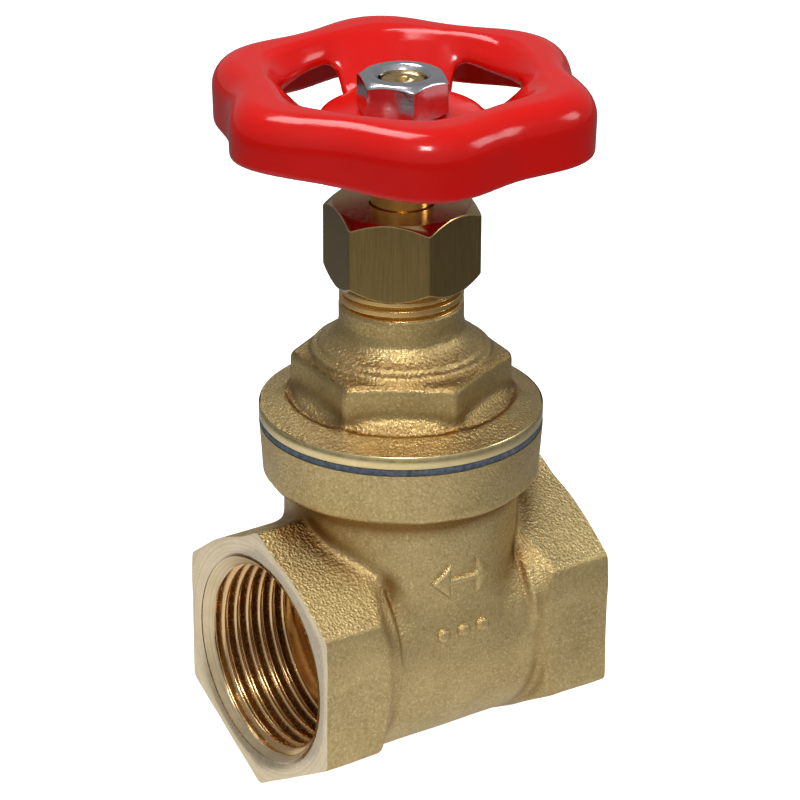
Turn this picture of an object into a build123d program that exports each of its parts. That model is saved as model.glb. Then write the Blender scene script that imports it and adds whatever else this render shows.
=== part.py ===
from build123d import *
from math import cos, pi, radians, sin, sqrt, tan
import os

# Brass gate valve, 3/4 inch, with female threaded ends and a stem that turns but doesn't rise.
# Millimetres. The origin is the centre of the inlet thread's outer end, on the flow axis.
# +X runs with the flow, +Z runs up the stem, and Y is across the valve.

# ---- driving dimensions ----
THREAD_MAJOR = 26.441          # G 3/4 parallel pipe thread
THREAD_PITCH = 1.814
HEX_FLATS = 31.0               # across the flats of the two end hexagons
BODY_LENGTH = 43.6             # face to face
MOUTH_DEPTH = 2.0              # tapered entry ahead of each pipe thread
PORT_RADIUS = 9.0              # clear way through the seats
LIFT = 20.4                    # travel of the wedge from shut to fully open
SHEET = 1.2                    # steel of the pressed handwheel

# ---- sizes that follow ----
THREAD_DEPTH = 0.64 * THREAD_PITCH
THREAD_MINOR_R = THREAD_MAJOR / 2 - THREAD_DEPTH
MOUTH_R = THREAD_MAJOR / 2 + 0.2
SOCKET_DEPTH = 13.4            # from the end face to the shoulder in front of the seat
INLET_FACE = -MOUTH_DEPTH
STEM_X = INLET_FACE + BODY_LENGTH / 2
OUTLET_FACE = INLET_FACE + BODY_LENGTH
HEX_CORNER_R = HEX_FLATS / sqrt(3)

# ---- body ----
CHAMBER_R = 14.85
HEX_AT_CORNER = 8.5            # length of an end hexagon along its corners
HEX_AT_FLAT = 9.8              # and along the middle of its flats
FLANGE_R = 17.96
FLANGE_FOOT_R = 17.44          # casting draft
FLANGE_FOOT_Z = 21.07
FLANGE_TOP_Z = 28.15
CAVITY_R = 12.3
SPIGOT_R = 13.9
SPIGOT_FOOT_Z = 22.7

# ---- wedge ----
WEDGE_R = 10.6
WEDGE_HALF = 5.5               # half thickness on the flow axis
WEDGE_TAPER = 3.0              # degrees on each side
WEDGE_GAP = 0.1                # left between each face and its seat when shut
WEDGE_NUT_R = 5.6
WEDGE_NUT_TOP = 16.0           # above the disc's centre
SLOT_R = WEDGE_R + 0.4
SLOT_TOP_Z = 14.6

# ---- bonnet ----
GASKET_TOP_Z = 29.0
BONNET_RIM_Z = 30.63           # top of the machined rim
BONNET_HEX_FLATS = 24.4
BONNET_HEX_FOOT_Z = 32.2
BONNET_HEX_TOP_Z = 37.6
BONNET_HEX_TURN = 24.9         # degrees, from +X to the first corner
NECK_R = 7.87
NECK_THREAD_PITCH = 1.3
NECK_THREAD_FOOT_Z = 44.5
NECK_TOP_Z = 52.8
NECK_GROOVE = 0.75

# ---- stem and stuffing box ----
STEM_R = 3.9
STEM_THREAD_R = 3.4
STEM_LEAD = 3.0
STEM_FOOT_Z = 10.0
COLLAR_R = 5.6
COLLAR_Z = 37.0
THROAT_Z = 39.6
BOX_FLOOR_Z = 42.0
BOX_R = 5.6
RING_GROOVE_R = 3.2
RUNNING = 0.05                 # radial clearance of every running fit
PACKING_RINGS = 3
PACKING_HEIGHT = 1.75

# ---- packing nut ----
PACKING_NUT_FLATS = 17.45
PACKING_NUT_FOOT_Z = 47.15
PACKING_NUT_TOP_Z = 57.4
PACKING_NUT_TURN = 14.9
PACKING_NUT_ROOF_Z = 55.0

# ---- handwheel and its nut ----
WHEEL_R = 23.12                # mean radius of the skirt
LOBES = 6
LOBE_HEIGHT = 1.4
LOBE_TURN = 5.1                # degrees, from +X to the first lobe
SPOKES = 3
SPOKE_TURN = 59.0              # degrees, from +X to the first spoke
HUB_R = 10.5
HUB_TOP_Z = 69.1
SKIRT_DRAFT = 0.2              # how much the foot of the skirt is drawn in
SKIRT_FOOT_Z = 66.0
CREST_Z = 74.5
DISH_R = 18.2                  # where the dish meets the crest of the rim
SHOULDER = 3.75                # rounding between the crest and the skirt
WINDOW_IN_R = 10.4
WINDOW_OUT_R = 14.9
WINDOW_IN_HALF = 22.0          # half angles covered by each window, along the hub and along the rim
WINDOW_OUT_HALF = 30.5
SQUARE = 6.0                   # drive square on the stem
WHEEL_NUT_FLATS = 10.3
WHEEL_NUT_HEIGHT = 5.0
WHEEL_NUT_TURN = 8.2
WHEEL_THREAD_R = 3.0
STEM_TOP_Z = 73.4

STEM_AXIS = Axis((STEM_X, 0, 0), (0, 0, 1))
STEM_SECTION = Plane(origin=(STEM_X, 0, 0), x_dir=(1, 0, 0), z_dir=(0, -1, 0))


def level(z, turn=0.0):
    """A horizontal plane centred on the stem at height z, turned about it."""
    return Plane(origin=(STEM_X, 0, z), x_dir=(cos(radians(turn)), sin(radians(turn)), 0), z_dir=(0, 0, 1))


def corner_cone(flats, top, drop, slope):
    """Section of the turning tool's path that takes the corners off a hexagon's upper end."""
    reach = flats / 2
    return [
        (reach, top + drop),
        (2 * reach, top + drop),
        (2 * reach, top - reach * slope),
        (reach, top),
    ]


os.makedirs("parts", exist_ok=True)

# ---------------------------------------------------------------- body
HEX_BACK_SLOPE = (HEX_AT_FLAT - HEX_AT_CORNER) / (HEX_CORNER_R - HEX_FLATS / 2)
THREAD_END = SOCKET_DEPTH - 0.9     # the last of the socket is a plain relief
RELIEF_R = THREAD_MINOR_R + 0.9

with BuildPart() as body:
    # barrel and the two hexagons, each turned off at the back
    with BuildSketch(Plane.XZ):
        with BuildLine():
            Polyline(
                (INLET_FACE, 0),
                (INLET_FACE, HEX_CORNER_R + 0.1),
                (INLET_FACE + HEX_AT_CORNER, HEX_CORNER_R + 0.1),
                (INLET_FACE + HEX_AT_FLAT + 0.4 * HEX_BACK_SLOPE, HEX_FLATS / 2 - 0.4),
                (OUTLET_FACE - HEX_AT_FLAT - 0.4 * HEX_BACK_SLOPE, HEX_FLATS / 2 - 0.4),
                (OUTLET_FACE - HEX_AT_CORNER, HEX_CORNER_R + 0.1),
                (OUTLET_FACE, HEX_CORNER_R + 0.1),
                (OUTLET_FACE, 0),
                close=True,
            )
        make_face()
    revolve(axis=Axis.X)
    with BuildSketch(Plane.YZ.offset(INLET_FACE)):
        RegularPolygon(HEX_FLATS / 2, 6, major_radius=False, rotation=90)
    extrude(amount=BODY_LENGTH, mode=Mode.INTERSECT)
    # upright chamber
    with BuildSketch(level(0)):
        Circle(CHAMBER_R)
    extrude(amount=FLANGE_TOP_Z - 1)
    # flange that the bonnet screws down on
    with BuildSketch(STEM_SECTION):
        with BuildLine():
            Polyline(
                (0, FLANGE_FOOT_Z - 1.6),
                (CHAMBER_R, FLANGE_FOOT_Z - 1.6),
                (CHAMBER_R + 0.7, FLANGE_FOOT_Z - 0.3),
                (FLANGE_FOOT_R - 0.5, FLANGE_FOOT_Z),
                (FLANGE_FOOT_R, FLANGE_FOOT_Z + 0.5),
                (FLANGE_R, FLANGE_TOP_Z),
                (0, FLANGE_TOP_Z),
                close=True,
            )
        make_face()
    revolve(axis=STEM_AXIS)
    # way through, with a tapered mouth and a threaded socket at each end
    with BuildSketch(Plane.XZ):
        with BuildLine():
            Polyline(
                (INLET_FACE, 0),
                (INLET_FACE, MOUTH_R),
                (INLET_FACE + MOUTH_DEPTH, THREAD_MINOR_R),
                (INLET_FACE + THREAD_END, THREAD_MINOR_R),
                (INLET_FACE + THREAD_END, RELIEF_R),
                (INLET_FACE + SOCKET_DEPTH, RELIEF_R),
                (INLET_FACE + SOCKET_DEPTH, PORT_RADIUS),
                (OUTLET_FACE - SOCKET_DEPTH, PORT_RADIUS),
                (OUTLET_FACE - SOCKET_DEPTH, RELIEF_R),
                (OUTLET_FACE - THREAD_END, RELIEF_R),
                (OUTLET_FACE - THREAD_END, THREAD_MINOR_R),
                (OUTLET_FACE - MOUTH_DEPTH, THREAD_MINOR_R),
                (OUTLET_FACE, MOUTH_R),
                (OUTLET_FACE, 0),
                close=True,
            )
        make_face()
    revolve(axis=Axis.X, mode=Mode.SUBTRACT)
    # tapered slot with the two seats on its sides
    taper = tan(radians(WEDGE_TAPER))
    slot_half = WEDGE_HALF + WEDGE_GAP
    with BuildSketch(Plane.YZ.offset(STEM_X - 9)):
        Circle(SLOT_R)
        with Locations((0, SLOT_TOP_Z / 2)):
            Rectangle(2 * SLOT_R, SLOT_TOP_Z)
    slot = extrude(amount=18, mode=Mode.PRIVATE)
    with BuildSketch(Plane.XZ.offset(-2 * SLOT_R), mode=Mode.PRIVATE) as slot_side:
        with BuildLine():
            Polyline(
                (STEM_X - slot_half + 16 * taper, -16),
                (STEM_X - slot_half - 16 * taper, 16),
                (STEM_X + slot_half + 16 * taper, 16),
                (STEM_X + slot_half - 16 * taper, -16),
                close=True,
            )
        make_face()
    sides = extrude(slot_side.sketch, amount=4 * SLOT_R, dir=(0, -1, 0), mode=Mode.PRIVATE)
    add(slot & sides, mode=Mode.SUBTRACT)
    # round chamber above the slot, then the bore the bonnet screws into
    with BuildSketch(level(SLOT_TOP_Z - 0.3)):
        Circle(CAVITY_R)
    extrude(amount=FLANGE_TOP_Z, mode=Mode.SUBTRACT)
    with BuildSketch(level(SPIGOT_FOOT_Z - 0.4)):
        Circle(SPIGOT_R + RUNNING)
    extrude(amount=FLANGE_TOP_Z, mode=Mode.SUBTRACT)

body.part.label = "body"
export_step(body.part, "parts/body.step")

# ---------------------------------------------------------------- bonnet gasket
with BuildPart() as bonnet_gasket:
    with BuildSketch(level(FLANGE_TOP_Z)):
        Circle(FLANGE_R - 0.06)
        Circle(SPIGOT_R + 0.1, mode=Mode.SUBTRACT)
    extrude(amount=GASKET_TOP_Z - FLANGE_TOP_Z)

bonnet_gasket.part.label = "bonnet_gasket"
export_step(bonnet_gasket.part, "parts/bonnet_gasket.step")

# ---------------------------------------------------------------- bonnet
with BuildPart() as bonnet:
    # turned rim, cast cone, flare and neck, hollow for the wedge, the collar and the packing
    with BuildSketch(STEM_SECTION):
        with BuildLine():
            Polyline(
                (CAVITY_R, SPIGOT_FOOT_Z),
                (SPIGOT_R, SPIGOT_FOOT_Z),
                (SPIGOT_R, GASKET_TOP_Z),
                (FLANGE_R, GASKET_TOP_Z),
                (FLANGE_R, BONNET_RIM_Z),
                (FLANGE_R - 0.3, BONNET_RIM_Z + 0.3),
                (BONNET_HEX_FLATS / 2 + 1.5, BONNET_HEX_FOOT_Z - 0.4),
                (BONNET_HEX_FLATS / 2 - 0.5, BONNET_HEX_FOOT_Z + 0.4),
                (BONNET_HEX_FLATS / 2 - 0.5, BONNET_HEX_TOP_Z - 0.2),
                (NECK_R + 3.5, BONNET_HEX_TOP_Z + 0.5),
                (NECK_R + 2.5, BONNET_HEX_TOP_Z + 1.35),
                (NECK_R + 1.3, BONNET_HEX_TOP_Z + 1.95),
                (NECK_R + 0.25, BONNET_HEX_TOP_Z + 3.3),
                (NECK_R, BONNET_HEX_TOP_Z + 4.4),
                (NECK_R, NECK_TOP_Z - 0.5),
                (NECK_R - 0.5, NECK_TOP_Z),
                (BOX_R, NECK_TOP_Z),
                (BOX_R, BOX_FLOOR_Z),
                (STEM_R + RUNNING, BOX_FLOOR_Z),
                (STEM_R + RUNNING, THROAT_Z),
                (COLLAR_R + 0.4, THROAT_Z),
                (COLLAR_R + 0.4, COLLAR_Z - 0.4),
                (WEDGE_NUT_R + 0.8, COLLAR_Z - 0.4),
                (WEDGE_NUT_R + 0.8, BONNET_HEX_FOOT_Z + 0.8),
                (CAVITY_R - 3.6, BONNET_HEX_FOOT_Z - 0.2),
                (CAVITY_R, FLANGE_TOP_Z + 0.4),
                close=True,
            )
        make_face()
    revolve(axis=STEM_AXIS)
    # hexagon for the bonnet spanner, its upper corners turned off
    with BuildSketch(level(BONNET_HEX_FOOT_Z - 0.6, BONNET_HEX_TURN)):
        RegularPolygon(BONNET_HEX_FLATS / 2, 6, major_radius=False)
        Circle(BONNET_HEX_FLATS / 2 - 1.5, mode=Mode.SUBTRACT)
    extrude(amount=BONNET_HEX_TOP_Z - BONNET_HEX_FOOT_Z + 0.6)
    with BuildSketch(STEM_SECTION):
        with BuildLine():
            Polyline(*corner_cone(BONNET_HEX_FLATS, BONNET_HEX_TOP_Z - 0.1, 2, 0.1), close=True)
        make_face()
    revolve(axis=STEM_AXIS, mode=Mode.SUBTRACT)
    # grooves of the neck thread
    with BuildSketch(STEM_SECTION):
        for turn in range(int((NECK_TOP_Z - NECK_THREAD_FOOT_Z) / NECK_THREAD_PITCH)):
            middle = NECK_THREAD_FOOT_Z + (turn + 0.5) * NECK_THREAD_PITCH
            with BuildLine():
                Polyline(
                    (NECK_R + 0.1, middle - 0.3 * NECK_THREAD_PITCH),
                    (NECK_R - NECK_GROOVE, middle - 0.08 * NECK_THREAD_PITCH),
                    (NECK_R - NECK_GROOVE, middle + 0.08 * NECK_THREAD_PITCH),
                    (NECK_R + 0.1, middle + 0.3 * NECK_THREAD_PITCH),
                    close=True,
                )
            make_face()
    revolve(axis=STEM_AXIS, mode=Mode.SUBTRACT)

bonnet.part.label = "bonnet"
export_step(bonnet.part, "parts/bonnet.step")

# ---------------------------------------------------------------- wedge, drawn fully raised
with BuildPart() as wedge:
    with BuildSketch(Plane.YZ.offset(STEM_X - 9)):
        with Locations((0, LIFT)):
            Circle(WEDGE_R)
    extrude(amount=18)
    with BuildSketch(Plane.XZ.offset(-2 * WEDGE_R)):
        with BuildLine():
            Polyline(
                (STEM_X - WEDGE_HALF + 12 * taper, LIFT - 12),
                (STEM_X - WEDGE_HALF - 12 * taper, LIFT + 12),
                (STEM_X + WEDGE_HALF + 12 * taper, LIFT + 12),
                (STEM_X + WEDGE_HALF - 12 * taper, LIFT - 12),
                close=True,
            )
        make_face()
    extrude(amount=4 * WEDGE_R, dir=(0, -1, 0), mode=Mode.INTERSECT)
    # boss that holds the stem thread
    with BuildSketch(level(LIFT)):
        Circle(WEDGE_NUT_R)
    extrude(amount=WEDGE_NUT_TOP)
    # clear hollow below the thread, so the stem can pass down into the wedge
    with BuildSketch(level(LIFT - WEDGE_R - 1)):
        Circle(STEM_THREAD_R + 0.4)
    extrude(amount=WEDGE_R + 1 + 9.6, mode=Mode.SUBTRACT)
    with BuildSketch(level(LIFT)):
        Circle(STEM_THREAD_R + RUNNING)
    extrude(amount=WEDGE_NUT_TOP, mode=Mode.SUBTRACT)

wedge.part.label = "wedge"
export_step(wedge.part, "parts/wedge.step")

# ---------------------------------------------------------------- stem
with BuildPart() as stem:
    with BuildSketch(STEM_SECTION):
        with BuildLine():
            Polyline(
                (0, STEM_FOOT_Z),
                (STEM_THREAD_R - 0.7, STEM_FOOT_Z),
                (STEM_THREAD_R, STEM_FOOT_Z + 0.7),
                (STEM_THREAD_R, COLLAR_Z),
                (COLLAR_R, COLLAR_Z),
                (COLLAR_R, THROAT_Z - RUNNING),
                (STEM_R, THROAT_Z - RUNNING),
                (STEM_R, BOX_FLOOR_Z + RUNNING),
                (RING_GROOVE_R, BOX_FLOOR_Z + RUNNING),
                (RING_GROOVE_R, BOX_FLOOR_Z + 1.05),
                (STEM_R, BOX_FLOOR_Z + 1.05),
                (STEM_R, HUB_TOP_Z - SHEET),
                (WHEEL_THREAD_R, HUB_TOP_Z - SHEET),
                (WHEEL_THREAD_R, STEM_TOP_Z - 0.5),
                (WHEEL_THREAD_R - 0.5, STEM_TOP_Z),
                (0.7, STEM_TOP_Z),
                (0, STEM_TOP_Z - 0.7),
                close=True,
            )
        make_face()
    revolve(axis=STEM_AXIS)
    # drive square for the handwheel
    with BuildSketch(level(HUB_TOP_Z - SHEET, SPOKE_TURN)):
        Rectangle(SQUARE - 2 * RUNNING, SQUARE - 2 * RUNNING)
    extrude(amount=SHEET)
    # thread that lifts the wedge
    with BuildSketch(STEM_SECTION):
        for turn in range(int((COLLAR_Z - 1 - STEM_FOOT_Z) / STEM_LEAD * 2)):
            middle = STEM_FOOT_Z + 1.2 + turn * STEM_LEAD / 2
            with BuildLine():
                Polyline(
                    (STEM_THREAD_R + 0.1, middle - 0.45),
                    (STEM_THREAD_R - 0.7, middle - 0.3),
                    (STEM_THREAD_R - 0.7, middle + 0.3),
                    (STEM_THREAD_R + 0.1, middle + 0.45),
                    close=True,
                )
            make_face()
    revolve(axis=STEM_AXIS, mode=Mode.SUBTRACT)

stem.part.label = "stem"
export_step(stem.part, "parts/stem.step")

# ---------------------------------------------------------------- split ring that stops the stem dropping
with BuildPart() as stem_retaining_ring:
    with BuildSketch(level(BOX_FLOOR_Z + RUNNING)):
        Circle(BOX_R - 0.4)
        Circle(RING_GROOVE_R + RUNNING, mode=Mode.SUBTRACT)
        with Locations((BOX_R, 0)):
            Rectangle(2 * BOX_R, 1.6, mode=Mode.SUBTRACT)
    extrude(amount=1.0)

stem_retaining_ring.part.label = "stem_retaining_ring"
export_step(stem_retaining_ring.part, "parts/stem_retaining_ring.step")

# ---------------------------------------------------------------- washer and packing rings
WASHER_Z = BOX_FLOOR_Z + 1.2
WASHER_HEIGHT = 0.8
with BuildPart() as packing_washer:
    with BuildSketch(level(WASHER_Z)):
        Circle(BOX_R)
        Circle(STEM_R + RUNNING, mode=Mode.SUBTRACT)
    extrude(amount=WASHER_HEIGHT)

packing_washer.part.label = "packing_washer"
export_step(packing_washer.part, "parts/packing_washer.step")

PACKING_Z = WASHER_Z + WASHER_HEIGHT
for number in range(PACKING_RINGS):
    with BuildPart() as packing_ring:
        with BuildSketch(level(PACKING_Z + number * PACKING_HEIGHT)):
            Circle(BOX_R)
            Circle(STEM_R + RUNNING, mode=Mode.SUBTRACT)
        extrude(amount=PACKING_HEIGHT)
    packing_ring.part.label = f"packing_ring_{number + 1}"
    export_step(packing_ring.part, f"parts/packing_ring_{number + 1}.step")

# ---------------------------------------------------------------- gland follower
FOLLOWER_FOOT_Z = PACKING_Z + PACKING_RINGS * PACKING_HEIGHT
FOLLOWER_HEAD_Z = NECK_TOP_Z + 0.7
with BuildPart() as gland_follower:
    with BuildSketch(level(FOLLOWER_FOOT_Z)):
        Circle(BOX_R - RUNNING)
    extrude(amount=PACKING_NUT_ROOF_Z - FOLLOWER_FOOT_Z)
    with BuildSketch(level(FOLLOWER_HEAD_Z)):
        Circle(NECK_R - NECK_GROOVE - 0.3)
    extrude(amount=PACKING_NUT_ROOF_Z - FOLLOWER_HEAD_Z)
    with BuildSketch(level(FOLLOWER_FOOT_Z)):
        Circle(STEM_R + RUNNING)
    extrude(amount=PACKING_NUT_ROOF_Z - FOLLOWER_FOOT_Z, mode=Mode.SUBTRACT)

gland_follower.part.label = "gland_follower"
export_step(gland_follower.part, "parts/gland_follower.step")

# ---------------------------------------------------------------- packing nut
with BuildPart() as packing_nut:
    with BuildSketch(level(PACKING_NUT_FOOT_Z, PACKING_NUT_TURN)):
        RegularPolygon(PACKING_NUT_FLATS / 2, 6, major_radius=False)
    extrude(amount=PACKING_NUT_TOP_Z - PACKING_NUT_FOOT_Z)
    # corners turned off at the top and, more steeply, at the foot
    with BuildSketch(STEM_SECTION):
        with BuildLine():
            Polyline(*corner_cone(PACKING_NUT_FLATS, PACKING_NUT_TOP_Z - 0.1, 2, 0.85), close=True)
        make_face()
        with BuildLine():
            Polyline(
                (PACKING_NUT_FLATS / 2, PACKING_NUT_FOOT_Z - 1),
                (PACKING_NUT_FLATS, PACKING_NUT_FOOT_Z - 1),
                (PACKING_NUT_FLATS, PACKING_NUT_FOOT_Z + PACKING_NUT_FLATS / 2),
                (PACKING_NUT_FLATS / 2, PACKING_NUT_FOOT_Z),
                close=True,
            )
        make_face()
    revolve(axis=STEM_AXIS, mode=Mode.SUBTRACT)
    # threaded bore, and the hole the stem comes out of
    with BuildSketch(level(PACKING_NUT_FOOT_Z)):
        Circle(NECK_R + RUNNING)
    extrude(amount=PACKING_NUT_ROOF_Z - PACKING_NUT_FOOT_Z, mode=Mode.SUBTRACT)
    with BuildSketch(level(PACKING_NUT_FOOT_Z)):
        Circle(STEM_R + 0.1)
    extrude(amount=PACKING_NUT_TOP_Z, mode=Mode.SUBTRACT)

packing_nut.part.label = "packing_nut"
export_step(packing_nut.part, "parts/packing_nut.step")


# ---------------------------------------------------------------- handwheel
def lobed(radius, height):
    """Points round a lobed outline of the given mean radius."""
    points = []
    for step in range(LOBES * 8):
        angle = step * 2 * pi / (LOBES * 8)
        r = radius + height * cos(LOBES * (angle - radians(LOBE_TURN)))
        points.append((r * cos(angle), r * sin(angle)))
    return points


def rim_levels(inset):
    """(radius, lobe height, z) of each outline the rim is lofted through, for a skin that far in."""
    rows = [(WHEEL_R - SKIRT_DRAFT - inset, LOBE_HEIGHT, SKIRT_FOOT_Z)]
    bend = SHOULDER - inset
    for lean in (0, 30, 60, 90):
        radius = WHEEL_R - SHOULDER + bend * cos(radians(lean))
        height = LOBE_HEIGHT * cos(radians(0.5 * lean))
        rows.append((radius, height, CREST_Z - SHOULDER + bend * sin(radians(lean))))
    return rows


with BuildPart() as handwheel:
    # lobed rim: an outer skin less an inner one
    for inset, how in ((0, Mode.ADD), (SHEET, Mode.SUBTRACT)):
        for radius, height, z in rim_levels(inset):
            with BuildSketch(level(z)):
                with BuildLine():
                    Spline(*lobed(radius, height), periodic=True)
                make_face()
        loft(mode=how)
    # the dish that falls from the crest to the hub takes the place of the flat roof
    with BuildSketch(level(CREST_Z - 2 * SHEET)):
        Circle(DISH_R)
    extrude(amount=3 * SHEET, mode=Mode.SUBTRACT)
    with BuildSketch(STEM_SECTION):
        with BuildLine():
            Line((0, HUB_TOP_Z), (HUB_R, HUB_TOP_Z))
            Spline((HUB_R, HUB_TOP_Z), (DISH_R, CREST_Z), tangents=((1, 0), (1, 0)))
            Line((DISH_R, CREST_Z), (DISH_R, CREST_Z - SHEET))
            Spline((HUB_R, HUB_TOP_Z - SHEET), (DISH_R, CREST_Z - SHEET), tangents=((1, 0), (1, 0)))
            Line((HUB_R, HUB_TOP_Z - SHEET), (0, HUB_TOP_Z - SHEET))
            Line((0, HUB_TOP_Z - SHEET), (0, HUB_TOP_Z))
        make_face()
    revolve(axis=STEM_AXIS)
    # windows between the spokes
    for spoke in range(SPOKES):
        with BuildSketch(level(SKIRT_FOOT_Z, SPOKE_TURN + (spoke + 0.5) * 360 / SPOKES)) as window:
            with BuildLine():
                inner = CenterArc((0, 0), WINDOW_IN_R, -WINDOW_IN_HALF, 2 * WINDOW_IN_HALF)
                outer = CenterArc((0, 0), WINDOW_OUT_R, -WINDOW_OUT_HALF, 2 * WINDOW_OUT_HALF)
                Line(inner @ 0, outer @ 0)
                Line(inner @ 1, outer @ 1)
            make_face()
            fillet(window.vertices(), radius=1.2)
        extrude(amount=CREST_Z - SKIRT_FOOT_Z, mode=Mode.SUBTRACT)
    # square hole that the stem drives
    with BuildSketch(level(SKIRT_FOOT_Z, SPOKE_TURN)):
        Rectangle(SQUARE, SQUARE)
    extrude(amount=CREST_Z - SKIRT_FOOT_Z, mode=Mode.SUBTRACT)

handwheel.part.label = "handwheel"
export_step(handwheel.part, "parts/handwheel.step")

# ---------------------------------------------------------------- handwheel nut
with BuildPart() as handwheel_nut:
    with BuildSketch(level(HUB_TOP_Z, WHEEL_NUT_TURN)):
        RegularPolygon(WHEEL_NUT_FLATS / 2, 6, major_radius=False)
    extrude(amount=WHEEL_NUT_HEIGHT)
    with BuildSketch(STEM_SECTION):
        with BuildLine():
            Polyline(*corner_cone(WHEEL_NUT_FLATS, HUB_TOP_Z + WHEEL_NUT_HEIGHT, 2, 0.55), close=True)
        make_face()
    revolve(axis=STEM_AXIS, mode=Mode.SUBTRACT)
    with BuildSketch(STEM_SECTION):
        with BuildLine():
            Polyline(
                (0, HUB_TOP_Z),
                (WHEEL_THREAD_R + RUNNING, HUB_TOP_Z),
                (WHEEL_THREAD_R + RUNNING, HUB_TOP_Z + WHEEL_NUT_HEIGHT - 0.6),
                (WHEEL_THREAD_R + 0.65, HUB_TOP_Z + WHEEL_NUT_HEIGHT),
                (0, HUB_TOP_Z + WHEEL_NUT_HEIGHT),
                close=True,
            )
        make_face()
    revolve(axis=STEM_AXIS, mode=Mode.SUBTRACT)

handwheel_nut.part.label = "handwheel_nut"
export_step(handwheel_nut.part, "parts/handwheel_nut.step")
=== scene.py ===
import itertools
import math
import bmesh
import bpy
import numpy as np
from mathutils import Matrix, Vector


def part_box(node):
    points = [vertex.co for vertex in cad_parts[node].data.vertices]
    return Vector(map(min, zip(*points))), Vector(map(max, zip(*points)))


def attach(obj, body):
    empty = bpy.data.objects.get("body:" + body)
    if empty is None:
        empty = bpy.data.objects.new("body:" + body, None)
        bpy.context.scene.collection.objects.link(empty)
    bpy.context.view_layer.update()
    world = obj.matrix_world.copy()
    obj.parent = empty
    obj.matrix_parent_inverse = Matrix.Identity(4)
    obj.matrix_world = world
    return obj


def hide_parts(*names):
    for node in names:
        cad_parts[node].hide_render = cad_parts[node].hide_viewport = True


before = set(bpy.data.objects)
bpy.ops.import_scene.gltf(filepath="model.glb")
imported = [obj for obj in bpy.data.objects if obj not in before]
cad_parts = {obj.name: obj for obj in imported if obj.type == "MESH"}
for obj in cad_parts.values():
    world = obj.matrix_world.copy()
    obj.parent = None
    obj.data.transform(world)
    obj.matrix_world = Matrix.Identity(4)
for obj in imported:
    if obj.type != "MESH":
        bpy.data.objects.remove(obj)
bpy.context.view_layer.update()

# Brass gate valve. The frame is in metres and everything below is worked out in millimetres,
# u across from the stem's axis along the flow, y across the valve and z up from the flow axis.
MM = 0.001


def box_mm(node):
    """Lowest and highest corner of a CAD node, in millimetres."""
    low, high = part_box(node)
    return [v / MM for v in low], [v / MM for v in high]


BODY_LOW, BODY_HIGH = box_mm("body")
BONNET_LOW, BONNET_HIGH = box_mm("bonnet")
GASKET_LOW, GASKET_HIGH = box_mm("bonnet_gasket")
NUT_LOW, NUT_HIGH = box_mm("packing_nut")
WHEEL_LOW, _ = box_mm("handwheel")
TOP_NUT_LOW, TOP_NUT_HIGH = box_mm("handwheel_nut")
STEM_LOW, STEM_HIGH = box_mm("stem")

STEM_X = (BODY_LOW[0] + BODY_HIGH[0]) / 2
HALF_LENGTH = (BODY_HIGH[0] - BODY_LOW[0]) / 2
FLOOR_Z = BODY_LOW[2]

# ---- body sizes, millimetres ----
HEX_FLATS = 31.0
HEX_CORNER_R = HEX_FLATS / math.sqrt(3)
HEX_AT_CORNER = 8.5                    # length of an end hexagon along its corners
HEX_AT_FLAT = 9.8                      # and along the middle of its flats
HEX_ROUNDING = 0.7
BARREL_R = 15.1
SWELL = 0.9                            # bulge of the barrel's upper half behind each hexagon
SWELL_U = 9.6
SWELL_RUN = 1.2
SWELL_RISE = 6.0
CHAMBER_R = 14.85
CHAMBER_FOOT_Z = -6.0
TUCK = 3.0                             # how far the chamber's wall draws in towards its foot
TUCK_TOP_Z = 5.0
TUCK_HEIGHT = 10.0
CROTCH_FILLET = 1.6                    # between barrel and chamber
END_FILLET = 0.7                       # between chamber and hexagons, larger over a band of heights
END_FILLET_MORE = 1.3
FLANGE_FILLET = 1.1
FLANGE_R = 17.96
FLANGE_FOOT_R = 17.44
FLANGE_FOOT_Z = 21.07
FLANGE_TOP_Z = BODY_HIGH[2]
FLANGE_DRAFT = (FLANGE_R - FLANGE_FOOT_R) / (FLANGE_TOP_Z - FLANGE_FOOT_Z)
PORT_R = 9.0
PORT_CHAMFER = 0.3
THREAD_MAJOR_R = 26.441 / 2
THREAD_PITCH = 1.814
THREAD_MINOR_R = THREAD_MAJOR_R - 0.64 * THREAD_PITCH
MOUTH_R = 13.42
MOUTH_SLOPE = 1.1                      # narrowing of the mouth's cone per unit of depth
# small step round the mouth, as (reach past the mouth's radius, depth)
ENTRY_STEPS = ((0.55, 0.0), (0.5, 0.12), (0.1, 0.14), (0.0, 0.22))
ENTRY_DEPTH = ENTRY_STEPS[-1][1]
SOCKET_DEPTH = 13.4
THREAD_END = SOCKET_DEPTH - 0.9
RELIEF_LENGTH = 0.8
THREAD_ROWS = 16                       # rings of points in each turn of thread
LINING = 0.3                           # casting left out behind the machined linings
SEAT_U = 5.7
SEAT_LEAN = math.tan(math.radians(3.0))
CAVITY_R = 12.3
SLOT_R = 11.0
SLOT_TOP_Z = 14.6
SPIGOT_R = 13.9
SPIGOT_BORE_DEPTH = 6.0
MARK_U = -0.7                          # middle of the raised arrow
MARK_Z = 11.7
MARK_REACH = 4.7                       # half the arrow's length
MARK_HEAD = 2.9
MARK_LINE = 1.2
MARK_DROP = 7.2                        # from the arrow down to the studs
MARK_PITCH = 2.9
MARK_STUD_R = 1.0
MARK_HEIGHT = 0.6

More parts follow.
